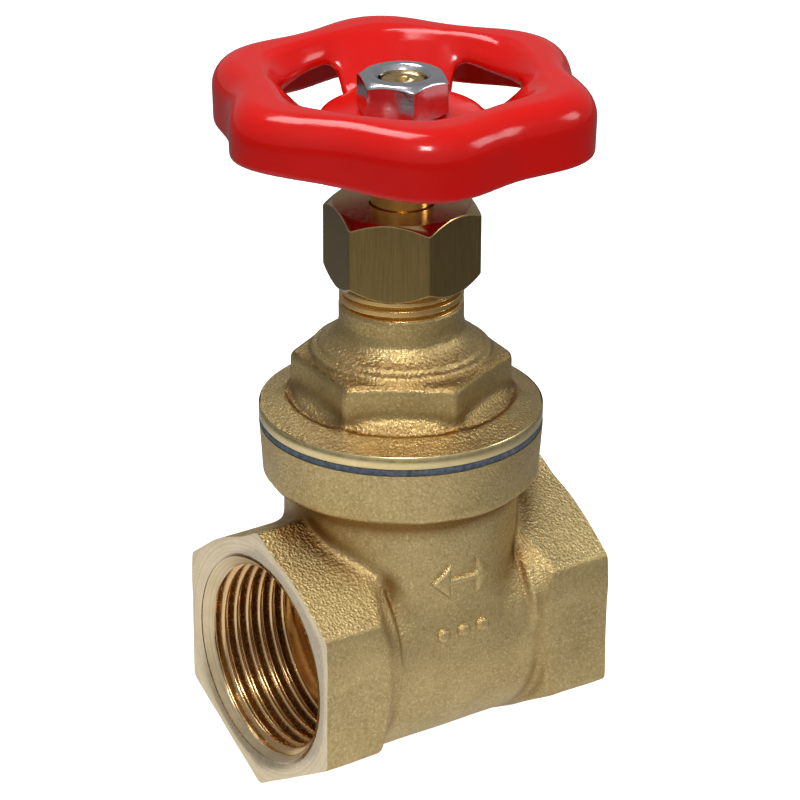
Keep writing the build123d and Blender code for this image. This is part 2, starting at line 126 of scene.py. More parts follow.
# ---- bonnet ----
GASKET_TOP_Z = 29.0
RIM_TOP_Z = 30.63
BONNET_HEX_FLATS = 24.4
BONNET_HEX_TOP_Z = 37.6
BONNET_HEX_TURN = math.radians(24.9)
BONNET_HEX_ROUNDING = 0.6
BONNET_HEX_TOP_EDGE = 1.3
CONE_SLOPE = 0.36                      # rise of the cone above the rim per unit of radius
CONE_STRETCH = 1.063                   # length along that slope per unit of radius
# the groove and the low ridge round the cone, as (radius, width, height)
CONE_RINGS = ((14.0, 0.45, -0.35), (15.0, 0.7, 0.12))
NECK_R = 7.87
NECK_THREAD_PITCH = 1.3
NECK_THREAD_FOOT_Z = 44.5
NECK_TOP_Z = BONNET_HIGH[2]
NECK_THREAD_DEPTH = 0.6
NECK_CHAMFER = 0.5
BONNET_CAVITY_TOP_Z = 28.5
BOX_R = 5.6
BOX_FLOOR_Z = 42.0
THROAT_Z = 39.6
STEM_R = 3.9
STEM_THREAD_R = 3.4
STEM_THREAD_DEPTH = 0.65
STEM_LEAD = 3.0
COLLAR_R = 5.6
COLLAR_Z = 37.0
CLIP_GROOVE_R = 3.2
RUNNING = 0.05                         # radial clearance of a running fit

# ---- packing nut, stem, handwheel and its nut ----
NUT_FLATS = 17.45
NUT_TURN = math.radians(14.9)
NUT_ROOF_Z = 55.0
TOP_NUT_FLATS = 10.3
TOP_NUT_TURN = math.radians(8.2)
TOP_NUT_TOP_Z = TOP_NUT_HIGH[2]
WHEEL_THREAD_R = 3.0
STEM_TOP_Z = STEM_HIGH[2]
WHEEL_R = 23.12
LOBES = 6
LOBE_HEIGHT = 1.4
LOBE_TURN = math.radians(5.1)
LOBE_START_R = 13.0                    # the lobes grow from here over the run
LOBE_RUN = 8.0
SPOKES = 3
SPOKE_TURN = math.radians(59.0)
SHEET = 1.2
SHOULDER = 3.75
SKIRT_DRAFT = 0.2
HUB_R = 10.5
HUB_TOP_Z = TOP_NUT_LOW[2]
DISH_R = 18.2
CREST_Z = 74.45
SKIRT_FOOT_Z = WHEEL_LOW[2]
WINDOW_IN_R = 10.4
WINDOW_OUT_R = 14.9
WINDOW_IN_HALF = math.radians(22.0)
WINDOW_OUT_HALF = math.radians(30.5)
WINDOW_ROLL = 0.75                     # how far the sheet turns down round each window
WINDOW_ROLL_REACH = 1.3
SPOKE_GROOVE = 0.35                    # depth of the groove pressed along each spoke
SPOKE_GROOVE_HALF = 1.6
SKIRT_RISE = 1.2                       # how much higher the skirt's edge is trimmed on one side
SKIRT_RISE_AT = math.radians(190)
SKIRT_RISE_REACH = 0.45
SQUARE_HALF = 3.05                     # half width of the wheel's square hole
SQUARE_CORNER_R = 3.8                  # where the stem's square has its corners turned off


# ------------------------------------------------------------------ distance fields
def soft_min(a, b, k):
    """The lesser of two distances, blended over k like a fillet."""
    h = np.maximum(k - np.abs(a - b), 0) / k
    return np.minimum(a, b) - h * h * k / 4


def soft_max(a, b, k):
    """The greater of two distances, blended over k like a rounded edge."""
    return -soft_min(-a, -b, k)


def smooth_step(t):
    """Rises gently from 0 to 1 as t does, and stays level beyond."""
    t = np.clip(t, 0, 1)
    return t * t * (3 - 2 * t)


def hexagon(p, q, flats, turn, rounding):
    """Distance to a hexagon in the p, q plane with a corner at the angle turn."""
    sides = []
    for n in range(3):
        angle = turn + math.radians(30 + 60 * n)
        sides.append(np.abs(p * math.cos(angle) + q * math.sin(angle)) - flats / 2)
    return soft_max(soft_max(sides[0], sides[1], rounding), sides[2], rounding)


def ripple(u, y, z, size, seed):
    """Smooth unevenness of a casting, about size mm across, mostly between -1 and 1."""
    rng = np.random.default_rng(seed)
    total = 0
    for _ in range(7):
        d = rng.normal(size=3)
        d *= 2 * math.pi / size / np.linalg.norm(d) * rng.uniform(0.6, 1.5)
        total = total + np.sin(u * d[0] + y * d[1] + z * d[2] + rng.uniform(0, 6.28))
    return total / 4


# ------------------------------------------------------------------ meshes
def surface(field, low, high, step):
    """Points and outward-facing quads of the surface where a distance field is nought."""
    axes = [np.arange(a, b + step, step) for a, b in zip(low, high)]
    x, y, z = np.meshgrid(*axes, indexing="ij", sparse=True)
    f = np.broadcast_to(field(x, y, z), [len(a) for a in axes]).astype(np.float32)
    inside = f < 0
    cells = [n - 1 for n in f.shape]

    def corner(a, dx, dy, dz):
        return a[dx:dx + cells[0], dy:dy + cells[1], dz:dz + cells[2]]

    count = sum(corner(inside, *c).astype(np.int8) for c in itertools.product((0, 1), repeat=3))
    live = np.argwhere((count > 0) & (count < 8))
    index = np.full(cells, -1, dtype=np.int64)
    index[tuple(live.T)] = np.arange(len(live))
    # each live cell's point is the mean of where its edges cross the surface
    total = np.zeros((len(live), 3))
    hits = np.zeros(len(live))
    for axis in range(3):
        others = [a for a in range(3) if a != axis]
        for p, q in itertools.product((0, 1), repeat=2):
            start = np.zeros(3, dtype=int)
            start[others[0]], start[others[1]] = p, q
            end = start.copy()
            end[axis] = 1
            fa = f[tuple((live + start).T)]
            fb = f[tuple((live + end).T)]
            cross = (fa < 0) != (fb < 0)
            t = np.where(cross, fa / np.where(cross, fa - fb, 1), 0)
            point = live + start + t[:, None] * (end - start)
            total += point * cross[:, None]
            hits += cross
    points = total / hits[:, None] * step + np.array(low)
    # a quad round every grid edge that crosses
    quads = []
    for axis in range(3):
        a, b = [n for n in range(3) if n != axis]
        lower = [slice(1, n - 1) for n in f.shape]
        upper = list(lower)
        lower[axis], upper[axis] = slice(0, f.shape[axis] - 1), slice(1, f.shape[axis])
        first, second = inside[tuple(lower)], inside[tuple(upper)]
        where = np.argwhere(first != second)
        flip = first[tuple(where.T)] ^ (axis == 1)
        where = where + np.array([0 if n == axis else 1 for n in range(3)])
        ring = []
        for p, q in ((0, 0), (1, 0), (1, 1), (0, 1)):
            cell = where.copy()
            cell[:, a] -= p
            cell[:, b] -= q
            ring.append(index[tuple(cell.T)])
        ring = np.stack(ring, 1)
        quads.append(np.where(flip[:, None], ring, ring[:, ::-1]))
    quads = np.concatenate(quads)
    # pull the points on to the true surface
    for _ in range(3):
        value, slope = value_and_slope(field, points)
        length = np.maximum(np.linalg.norm(slope, axis=1), 0.3)
        shift = slope * (value / length ** 2)[:, None]
        far = np.linalg.norm(shift, axis=1, keepdims=True)
        points = points - shift * np.minimum(1, 0.5 * step / np.maximum(far, 1e-9))
    return points, quads


def value_and_slope(field, points, h=0.02):
    """The field and its slope at each point."""
    value = field(*points.T)
    slope = []
    for axis in range(3):
        d = np.zeros(3)
        d[axis] = h
        slope.append((field(*(points + d).T) - field(*(points - d).T)) / (2 * h))
    return value, np.stack(slope, 1)


def hollowness(field, points, reach=3.0):
    """How closed in each point is: 0 on flat or rounded ground, towards 1 in a corner."""
    _, slope = value_and_slope(field, points)
    out = slope / np.maximum(np.linalg.norm(slope, axis=1, keepdims=True), 1e-6)
    return np.clip(1 - field(*(points + out * reach).T) / reach, 0, 1)


class Build:
    """Collects faces in millimetres about the stem's axis, each with its material's slot number
    and each point with how hollow the casting is there, then makes one object of them."""

    def __init__(self):
        self.points, self.faces, self.slots, self.hollows = [], [], [], []

    def add(self, points, faces, slot=0, hollow=None):
        start = sum(len(p) for p in self.points)
        self.points.append(np.asarray(points, dtype=float))
        self.hollows.append(np.zeros(len(points)) if hollow is None else hollow)
        self.faces += [tuple(int(i) + start for i in f) for f in faces]
        self.slots += [slot] * len(faces)

    def rings(self, rings, slot=0, close_start=False, close_end=False):
        """Quads between closed rings, each a list of points at the same angles."""
        n, m = len(rings[0]), len(rings)
        faces = []
        for r in range(m - 1):
            a, b = r * n, (r + 1) * n
            faces += [(a + i, a + (i + 1) % n, b + (i + 1) % n, b + i) for i in range(n)]
        if close_start:
            faces.append(tuple(range(n))[::-1])
        if close_end:
            faces.append(tuple(range((m - 1) * n, m * n)))
        self.add(np.concatenate(rings), faces, slot)

    def object(self, name, materials, body, replaced, smooth_angle=32):
        points = np.concatenate(self.points) * MM + np.array([STEM_X * MM, 0, 0])
        mesh = bpy.data.meshes.new(name)
        mesh.from_pydata(points.tolist(), [], self.faces)
        for material in materials:
            mesh.materials.append(material)
        mesh.polygons.foreach_set("material_index", self.slots)
        hollow = mesh.attributes.new("hollow", "FLOAT", "POINT")
        hollow.data.foreach_set("value", np.concatenate(self.hollows))
        mesh.validate()
        mesh.polygons.foreach_set("use_smooth", [True] * len(mesh.polygons))
        mesh.set_sharp_from_angle(angle=math.radians(smooth_angle))
        piece = bpy.data.objects.new(name, mesh)
        bpy.context.scene.collection.objects.link(piece)
        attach(piece, body)
        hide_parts(*replaced)
        return piece


def circle(radius, z, count):
    """A ring about the stem's axis. radius may be a number or one number per point."""
    angle = np.arange(count) * 2 * math.pi / count
    r = np.broadcast_to(radius, count)
    return np.stack([r * np.cos(angle), r * np.sin(angle), np.broadcast_to(z, count)], 1)


def flow_circle(radius, u, count, side):
    """A ring about the flow axis, wound so that faces turn the right way on either side."""
    angle = np.arange(count) * 2 * math.pi / count
    r = np.broadcast_to(radius, count)
    return np.stack([np.broadcast_to(u * side, count), side * r * np.cos(angle), r * np.sin(angle)], 1)


# ------------------------------------------------------------------ materials
class Nodes:
    """A material's node tree, with short ways to add what the finishes here share."""

    def __init__(self, name):
        self.material = bpy.data.materials.new(name)
        self.material.use_nodes = True
        self.tree = self.material.node_tree
        self.shader = self.tree.nodes["Principled BSDF"]
        self.place = self.node("ShaderNodeTexCoord").outputs["Object"]

    def node(self, kind, **inputs):
        n = self.tree.nodes.new(kind)
        for key, value in inputs.items():
            self.set(n, key.replace("_", " "), value)
        return n

    def set(self, n, key, value):
        socket = n.inputs[key]
        if isinstance(value, bpy.types.NodeSocket):
            self.tree.links.new(value, socket)
        else:
            socket.default_value = value

    def noise(self, size, detail=3.0, rough=0.5, stretch=(1, 1, 1)):
        """Noise whose features are about size millimetres across."""
        mapping = self.node("ShaderNodeMapping", Vector=self.place, Scale=stretch)
        n = self.node("ShaderNodeTexNoise", Vector=mapping.outputs[0], Scale=1000 / size,
                      Detail=detail, Roughness=rough)
        return n.outputs["Fac"]

    def cells(self, size):
        """Rounded dimples about size millimetres across."""
        n = self.node("ShaderNodeTexVoronoi", Vector=self.place, Scale=1000 / size)
        return n.outputs["Distance"]

    def upward(self):
        """How far the surface looks up: 0 for a wall or an underside, 1 for a top."""
        normal = self.node("ShaderNodeNewGeometry").outputs["Normal"]
        return self.node("ShaderNodeSeparateXYZ", Vector=normal).outputs["Z"]

    def hollow(self):
        """0 in the open and up to 1 in a corner, from the value kept at each point of the mesh."""
        n = self.node("ShaderNodeAttribute")
        n.attribute_name = "hollow"
        return n.outputs["Fac"]

    def lathe_marks(self, centre, across, size):
        """Rings about an axis through centre; across is 1 on the axes square to it, 0 along it."""
        out = self.tree.nodes.new("ShaderNodeVectorMath")
        out.operation = "SUBTRACT"
        self.set(out, 0, self.place)
        out.inputs[1].default_value = centre
        flat = self.tree.nodes.new("ShaderNodeVectorMath")
        flat.operation = "MULTIPLY"
        self.set(flat, 0, out.outputs[0])
        flat.inputs[1].default_value = across
        radius = self.tree.nodes.new("ShaderNodeVectorMath")
        radius.operation = "LENGTH"
        self.set(radius, 0, flat.outputs[0])
        n = self.node("ShaderNodeTexNoise", Scale=1000 / size, Detail=3.0)
        n.noise_dimensions = "1D"
        self.set(n, "W", radius.outputs["Value"])
        return n.outputs["Fac"]

    def ramp(self, value, *stops):
        """A colour for each value; stops are (value, colour) pairs from low to high."""
        n = self.node("ShaderNodeValToRGB", Fac=value)
        band = n.color_ramp
        while len(band.elements) < len(stops):
            band.elements.new(0.5)
        for element, (at, colour) in zip(band.elements, stops):
            element.position = at
            element.color = (*colour, 1)
        return n.outputs["Color"]

    def grey(self, value, low, high, at=(0.3, 0.7)):
        """A number that runs from low to high as value runs between the two in at."""
        return self.ramp(value, (at[0], (low,) * 3), (at[1], (high,) * 3))

    def mix(self, fac, a, b, kind="MIX"):
        n = self.tree.nodes.new("ShaderNodeMix")
        n.data_type = "RGBA"
        n.blend_type = kind
        self.set(n, 0, fac)
        for key, value in ((6, a), (7, b)):
            if isinstance(value, tuple):
                value = (*value, 1)
            self.set(n, key, value)
        return n.outputs[2]

    def bump(self, height, depth, strength=1.0, after=None):
        """The normal bumped by a height of so many millimetres, on top of the bump in after."""
        n = self.node("ShaderNodeBump", Height=height, Distance=depth * MM, Strength=strength)
        if after is not None:
            self.set(n, "Normal", after)
        return n.outputs["Normal"]

    def finish(self, **values):
        """Puts the values on the shader's own sockets and gives the material back."""
        for key, value in values.items():
            if isinstance(value, tuple) and len(value) == 3:
                value = (*value, 1)
            self.set(self.shader, key.replace("_", " "), value)
        return self.material


BROWN_SPECK = (0.30, 0.19, 0.065)
# colour of the painted shade in the casting's corners
PAINTED_CORNER_SHADE = (0.25, 0.125, 0.03)


def cast_brass(name, low, high, painted_glint, dull=0.50):
    """Sand-cast and bead-blasted brass: matt tan with painted glints on its grain and painted shade browning
    its corners, coarser where it looks up.
    """
    n = Nodes(name)
    grain = n.noise(0.32, detail=3, rough=0.7)
    mottle = n.noise(0.7, detail=4, rough=0.75)
    blotch = n.noise(6, detail=4, rough=0.6)
    pits = n.cells(0.42)
    up = n.upward()
    colour = n.mix(n.grey(blotch, 0, 1), low, high)
    colour = n.mix(n.grey(mottle, 0.35, 0, (0.36, 0.5)), colour, BROWN_SPECK)
    # painted glints: the grain's high points are mixed towards a pale colour
    colour = n.mix(n.grey(grain, 0, 0.6, (0.5, 0.72)), colour, painted_glint)
    # painted shade: the colour browns where the mesh's hollow value says a corner closes in
    colour = n.mix(n.grey(n.hollow(), 0, 0.9, (0.04, 0.45)), colour, PAINTED_CORNER_SHADE)
    rough = n.grey(grain, dull, dull - 0.17, (0.35, 0.7))
    normal = n.bump(grain, 0.14, n.grey(up, 0.62, 1.0, (0.35, 0.8)))
    normal = n.bump(pits, 0.11, n.grey(up, 0.25, 1.0, (0.35, 0.85)), normal)
    return n.finish(Base_Color=colour, Metallic=1.0, Roughness=rough, Normal=normal)


FLOW_AXIS = ((0, 0, 0), (0, 1, 1))
STEM_AXIS = ((STEM_X * MM, 0, 0), (1, 1, 0))


def faced_brass(name, axis, low, high, shine=0.24):
    """Brass faced in the lathe: pale, with faint rings about its axis."""
    n = Nodes(name)
    rings = n.lathe_marks(*axis, 0.35)
    colour = n.mix(n.noise(3, detail=3), low, high)
    colour = n.mix(n.grey(rings, 0.3, 0, (0.35, 0.5)), colour, tuple(0.6 * c for c in low))
    normal = n.bump(rings, 0.012)
    rough = n.grey(n.noise(0.8), shine, shine + 0.14)
    return n.finish(Base_Color=colour, Metallic=1.0, Roughness=rough, Normal=normal)


def turned_brass(name, tint, shine=0.13):
    """Polished turned brass, warm and shiny."""
    n = Nodes(name)
    colour = n.mix(n.noise(2.5, detail=3), tint, tuple(min(1, c * 1.25) for c in tint))
    rough = n.grey(n.noise(0.5), shine, shine + 0.12)
    return n.finish(Base_Color=colour, Metallic=1.0, Roughness=rough)


def bar_brass(name):
    """Drawn hexagon bar: olive brown, with streaks along its length."""
    n = Nodes(name)
    streak = n.noise(1.1, detail=4, rough=0.7, stretch=(5, 5, 0.22))
    colour = n.mix(n.grey(streak, 0, 1), (0.20, 0.14, 0.050), (0.29, 0.205, 0.080))
    rough = n.grey(streak, 0.30, 0.46)
    normal = n.bump(streak, 0.03)
    return n.finish(Base_Color=colour, Metallic=1.0, Roughness=rough, Normal=normal)


def nut_end(name):
    """End and chamfers of the packing nut, turned bright."""
    n = Nodes(name)
    colour = n.mix(n.noise(2, detail=3), (0.42, 0.28, 0.12), (0.55, 0.38, 0.18))
    return n.finish(Base_Color=colour, Metallic=1.0, Roughness=n.grey(n.noise(0.6), 0.14, 0.24))


def red_enamel(name):
    """Thick glossy red enamel over pressed steel."""
    n = Nodes(name)
    colour = n.mix(n.noise(9, detail=2), (0.54, 0.003, 0.0012), (0.62, 0.004, 0.0016))
    normal = n.bump(n.noise(3.0, detail=2), 0.025)
    return n.finish(Base_Color=colour, Metallic=0.0, Roughness=n.grey(n.noise(4), 0.12, 0.20),
                    IOR=1.4, Normal=normal)


def zinc(name):
    """Bright zinc plate with a bluish cast."""
    n = Nodes(name)
    colour = n.mix(n.noise(2, detail=3), (0.50, 0.52, 0.56), (0.68, 0.70, 0.74))
    normal = n.bump(n.noise(0.9, detail=3), 0.02)
    rough = n.grey(n.noise(0.7), 0.12, 0.24)
    return n.finish(Base_Color=colour, Metallic=1.0, Roughness=rough, Normal=normal)


def fibre(name, low, high):
    """Compressed fibre, slightly rough."""
    n = Nodes(name)
    colour = n.mix(n.grey(n.noise(0.6, detail=4), 0, 1), low, high)
    normal = n.bump(n.noise(0.4, detail=3), 0.06)
    return n.finish(Base_Color=colour, Roughness=n.grey(n.noise(0.5), 0.6, 0.8), Normal=normal)


# the last colour given to each cast finish is its painted glint
CAST = cast_brass("cast_brass", (0.50, 0.375, 0.165), (0.62, 0.475, 0.22), (0.92, 0.76, 0.44))
CAST_BONNET = cast_brass("cast_brass_bonnet", (0.50, 0.36, 0.14), (0.62, 0.455, 0.19),
                         (0.98, 0.84, 0.48), 0.42)
FACED = faced_brass("faced_brass", FLOW_AXIS, (0.66, 0.54, 0.35), (0.80, 0.68, 0.48))
MOUTH = faced_brass("mouth_brass", FLOW_AXIS, (0.62, 0.49, 0.29), (0.76, 0.62, 0.40), 0.32)
RIM = faced_brass("rim_brass", STEM_AXIS, (0.68, 0.54, 0.26), (0.82, 0.67, 0.36))
TURNED = turned_brass("turned_brass", (0.62, 0.40, 0.14))
NECK = turned_brass("neck_brass", (0.62, 0.41, 0.16), 0.18)
THREAD = turned_brass("thread_brass", (0.64, 0.43, 0.21), 0.17)
BAR = bar_brass("bar_brass")
NUT_END = nut_end("nut_end_brass")
ENAMEL = red_enamel("red_enamel")
ZINC = zinc("zinc_plate")
FIBRE = fibre("gasket_fibre", (0.03, 0.045, 0.065), (0.11, 0.14, 0.18))
PACKING = fibre("graphite_packing", (0.02, 0.02, 0.022), (0.06, 0.06, 0.065))


# ------------------------------------------------------------------ body
def casting_mark(u, y, z):
    """Distance to the raised mark on the chamber: a two-way flow arrow over a row of three studs."""
    across = CHAMBER_R * np.arctan2(u - MARK_U, -y)
    up = np.abs(z - MARK_Z)
    out = np.abs(across)
    bar = np.maximum(out - MARK_REACH + MARK_HEAD / 2, up - MARK_LINE / 2)
    head = np.maximum((up * 1.1 + out - MARK_REACH) * 0.67, MARK_REACH - MARK_HEAD - out)
    outline = np.minimum(bar, head)
    for place in (-MARK_PITCH, 0.0, MARK_PITCH):
        stud = np.hypot(across - place, z - MARK_Z + MARK_DROP) - MARK_STUD_R
        outline = np.minimum(outline, stud)
    return soft_max(outline, cast_body(u, y, z) - MARK_HEIGHT, 0.9)


def cast_body(u, y, z):
    """Distance to the outside of the body casting, its ends run on past the faced ends."""
    r_flow = np.sqrt(y * y + z * z)
    r_stem = np.sqrt(u * u + y * y)
    ends = hexagon(y, z, HEX_FLATS, math.radians(90), HEX_ROUNDING)
    slope = (HEX_AT_FLAT - HEX_AT_CORNER) / (HEX_CORNER_R - HEX_FLATS / 2)
    length = HEX_AT_CORNER + slope * (HEX_CORNER_R - r_flow)
    back = (HALF_LENGTH - length - np.abs(u)) / math.hypot(1, slope)
    ends = soft_max(ends, back, HEX_ROUNDING)
    barrel = soft_max(r_flow - BARREL_R, np.abs(u) - HALF_LENGTH - 2, 0.5)
    tuck = TUCK * smooth_step((TUCK_TOP_Z - z) / TUCK_HEIGHT)
    heights = np.maximum(CHAMBER_FOOT_Z - z, z - FLANGE_TOP_Z + 1)
    chamber = soft_max(r_stem - CHAMBER_R + tuck, heights, 0.5)
    flange_r = FLANGE_FOOT_R + (z - FLANGE_FOOT_Z) * FLANGE_DRAFT
    flange = soft_max(r_stem - flange_r, FLANGE_FOOT_Z - z, 1.0)
    flange = np.maximum(flange, z - FLANGE_TOP_Z - 2)
    swell = SWELL * smooth_step(z / SWELL_RISE) * smooth_step((np.abs(u) - SWELL_U) / SWELL_RUN)
    shape = soft_min(barrel - swell, chamber, CROTCH_FILLET)
    band = smooth_step((z - 2) / 6) * (1 - smooth_step((z - 12) / 4))
    shape = soft_min(shape, ends, END_FILLET + END_FILLET_MORE * band)
    shape = soft_min(shape, flange, FLANGE_FILLET)
    return shape + 0.05 * ripple(u, y, z, 7, 3)


def body_hollow(u, y, z):
    """Distance to the waterway and chamber cut out of the casting, behind the machined linings."""
    r_flow = np.sqrt(y * y + z * z)
    r_stem = np.sqrt(u * u + y * y)
    port = r_flow - PORT_R - LINING
    shoulder = HALF_LENGTH - SOCKET_DEPTH - LINING
    socket = np.maximum(r_flow - THREAD_MAJOR_R - LINING, shoulder - np.abs(u))
    slot_profile = np.where(z < 0, r_flow, np.abs(y)) - SLOT_R
    slot = np.maximum(slot_profile, np.abs(u) - SEAT_U - SEAT_LEAN * z)
    slot = np.maximum(slot, z - SLOT_TOP_Z)
    cavity = np.maximum(r_stem - CAVITY_R, SLOT_TOP_Z - 0.5 - z)
    spigot = np.maximum(r_stem - SPIGOT_R - RUNNING, FLANGE_TOP_Z - SPIGOT_BORE_DEPTH - z)
    return np.minimum(np.minimum(np.minimum(port, socket), np.minimum(slot, cavity)), spigot)


def clip_mesh(points, faces, axis, limit, side):
    """Keeps the part of a mesh below (side 1) or above (side -1) a plane, cut clean along it."""
    mesh = bpy.data.meshes.new("cut")
    mesh.from_pydata(points.tolist(), [], faces)
    bm = bmesh.new()
    bm.from_mesh(mesh)
    normal = [0, 0, 0]
    normal[axis] = side
    where = [0, 0, 0]
    where[axis] = limit
    bmesh.ops.bisect_plane(bm, geom=bm.verts[:] + bm.edges[:] + bm.faces[:], plane_co=where,
                           plane_no=normal, clear_outer=True)
    bm.to_mesh(mesh)
    bm.free()
    kept_points = np.array([v.co[:] for v in mesh.vertices])
    kept_faces = [tuple(p.vertices) for p in mesh.polygons]
    bpy.data.meshes.remove(mesh)
    return kept_points, kept_faces


def outline_radius(field, at, count, low, high):
    """How far out a field's surface is at each of count angles; at(radius, angle) gives the point."""
    angle = np.arange(count) * 2 * math.pi / count
    a, b = np.full(count, float(low)), np.full(count, float(high))
    halvings = 40
    for _ in range(halvings):
        middle = (a + b) / 2
        out = field(*at(middle, angle)) > 0
        b = np.where(out, middle, b)
        a = np.where(out, a, middle)
    return (a + b) / 2


def thread_radius(along, angle, pitch, minor, major):
    """Radius of a 55-degree thread at a distance along its axis."""
    phase = (along / pitch - angle / (2 * math.pi)) % 1.0
    height = np.clip(1 - np.abs(phase - 0.5) * 2 / 0.86, 0, 1)
    height = height * height * (3 - 2 * height) * 0.35 + height * 0.65
    return minor + (major - minor) * np.minimum(height * 1.08, 1)


def body_end(build, side):
    """Machined face, mouth, thread and seat bore of one end."""
    count = 288
    angle = np.arange(count) * 2 * math.pi / count
    face = HALF_LENGTH

    def at(radius, a):
        return np.full(count, side * face), side * radius * np.cos(a), radius * np.sin(a)

    outline = outline_radius(cast_body, at, count, 12, 22)
    entry = [(outline, 0)] + [(MOUTH_R + past, depth) for past, depth in ENTRY_STEPS]
    build.rings([flow_circle(r, face - depth, count, side) for r, depth in entry], 1)
    # the mouth's cone cuts into the first turns of the thread
    rows = []
    steps = int(THREAD_END / THREAD_PITCH * THREAD_ROWS)
    for row in range(steps + 1):
        depth = ENTRY_DEPTH + (THREAD_END - ENTRY_DEPTH) * row / steps
        cone = MOUTH_R - (depth - ENTRY_DEPTH) * MOUTH_SLOPE
        thread = thread_radius(depth, angle * side, THREAD_PITCH, THREAD_MINOR_R, THREAD_MAJOR_R)
        rows.append(flow_circle(np.maximum(cone, thread), face - depth, count, side))
    cone_rows = int((MOUTH_R - THREAD_MINOR_R) / MOUTH_SLOPE / THREAD_END * steps) + 1
    build.rings(rows[:cone_rows + 1], 3)
    rows = rows[cone_rows:]
    rows.append(flow_circle(THREAD_MAJOR_R, face - SOCKET_DEPTH + RELIEF_LENGTH, count, side))
    rows.append(flow_circle(THREAD_MAJOR_R, face - SOCKET_DEPTH, count, side))
    rows.append(flow_circle(PORT_R + PORT_CHAMFER, face - SOCKET_DEPTH, count, side))
    rows.append(flow_circle(PORT_R, face - SOCKET_DEPTH - PORT_CHAMFER, count, side))
    # the seat leans with the wedge's face
    rows.append(flow_circle(PORT_R, SEAT_U + SEAT_LEAN * PORT_R * np.sin(angle), count, side))
    build.rings(rows, 2)


def make_body():
    def field(u, y, z):
        return np.maximum(cast_body(u, y, z), -body_hollow(u, y, z))

    reach = HALF_LENGTH + 1.5
    points, quads = surface(field, (-reach, -19, -19), (reach, 19, FLANGE_TOP_Z + 1.5), 0.34)
    points, faces = clip_mesh(points, quads.tolist(), 0, HALF_LENGTH, 1)
    points, faces = clip_mesh(points, faces, 0, -HALF_LENGTH, -1)
    points, faces = clip_mesh(points, faces, 2, FLANGE_TOP_Z, 1)
    build = Build()
    build.add(points, faces, 0, hollowness(cast_body, points))
    # the mark is finer than the casting, so it has a surface of its own
    build.add(*surface(casting_mark, (-7.5, -CHAMBER_R - 1, 2.5), (6.5, -10.5, 15.0), 0.17), 0)
    for side in (1, -1):
        body_end(build, side)
    build.rings([circle(SPIGOT_R, FLANGE_TOP_Z, 192), circle(FLANGE_R, FLANGE_TOP_Z, 192)], 1)
    return build.object("valve_body", [CAST, FACED, THREAD, MOUTH], "valve", ["body"], 75)


make_body()


# ------------------------------------------------------------------ gasket
def make_gasket():
    """A flat fibre ring whose cut edge shows between the body and the bonnet."""
    build = Build()
    low, high = GASKET_LOW[2], GASKET_HIGH[2]
    count = 240
    inner = SPIGOT_R + 0.1
    outer = GASKET_HIGH[0] - STEM_X
    ragged = 0.05 * ripple(*circle(outer, low, count).T, 1.5, 5)
    edge = outer - 0.12 + ragged
    swollen = outer - 0.02 + ragged
    section = [(inner, low), (edge, low), (swollen, low + 0.2), (swollen, high - 0.2), (edge, high),
               (inner, high), (inner, low)]
    build.rings([circle(r, z, count) for r, z in section])
    build.object("fibre_gasket", [FIBRE], "valve", ["bonnet_gasket"])


# ------------------------------------------------------------------ bonnet
# outline of the bonnet between the neck's thread and the top of its hexagon, as (radius, height)
FLARE = (
    (NECK_R - 0.25, 44.6), (NECK_R, 44.1), (NECK_R, 42.0), (8.1, 40.9), (8.6, 40.1), (9.2, 39.55),
    (9.8, 39.2), (10.3, 38.95), (10.55, 38.5), (11.05, 38.4), (11.35, 38.1), (11.7, 37.2), (11.8, 36.0),
)


def cast_bonnet(u, y, z):
    """Distance to the cast outside of the bonnet, from the flare of the neck down to the rim."""
    r = np.sqrt(u * u + y * y)
    radii, heights = np.array(FLARE[::-1]).T
    slope = np.abs(np.interp(z + 0.1, heights, radii) - np.interp(z - 0.1, heights, radii)) / 0.2
    flare = (r - np.interp(z, heights, radii)) / np.sqrt(1 + np.minimum(slope, 4) ** 2)
    nut = hexagon(u, y, BONNET_HEX_FLATS, BONNET_HEX_TURN, BONNET_HEX_ROUNDING)
    nut = soft_max(nut, z - BONNET_HEX_TOP_Z + 0.05 * (r - 12), BONNET_HEX_TOP_EDGE)
    top = RIM_TOP_Z + (FLANGE_R - r) * CONE_SLOPE
    for ring_r, width, height in CONE_RINGS:
        top = top + height * np.exp(-((r - ring_r) / width) ** 2)
    cone = np.maximum((z - top) / CONE_STRETCH, r - FLANGE_R)
    shape = soft_min(soft_min(nut, flare, 0.5), cone, 1.5)
    return shape + 0.04 * ripple(u, y, z, 6, 8)


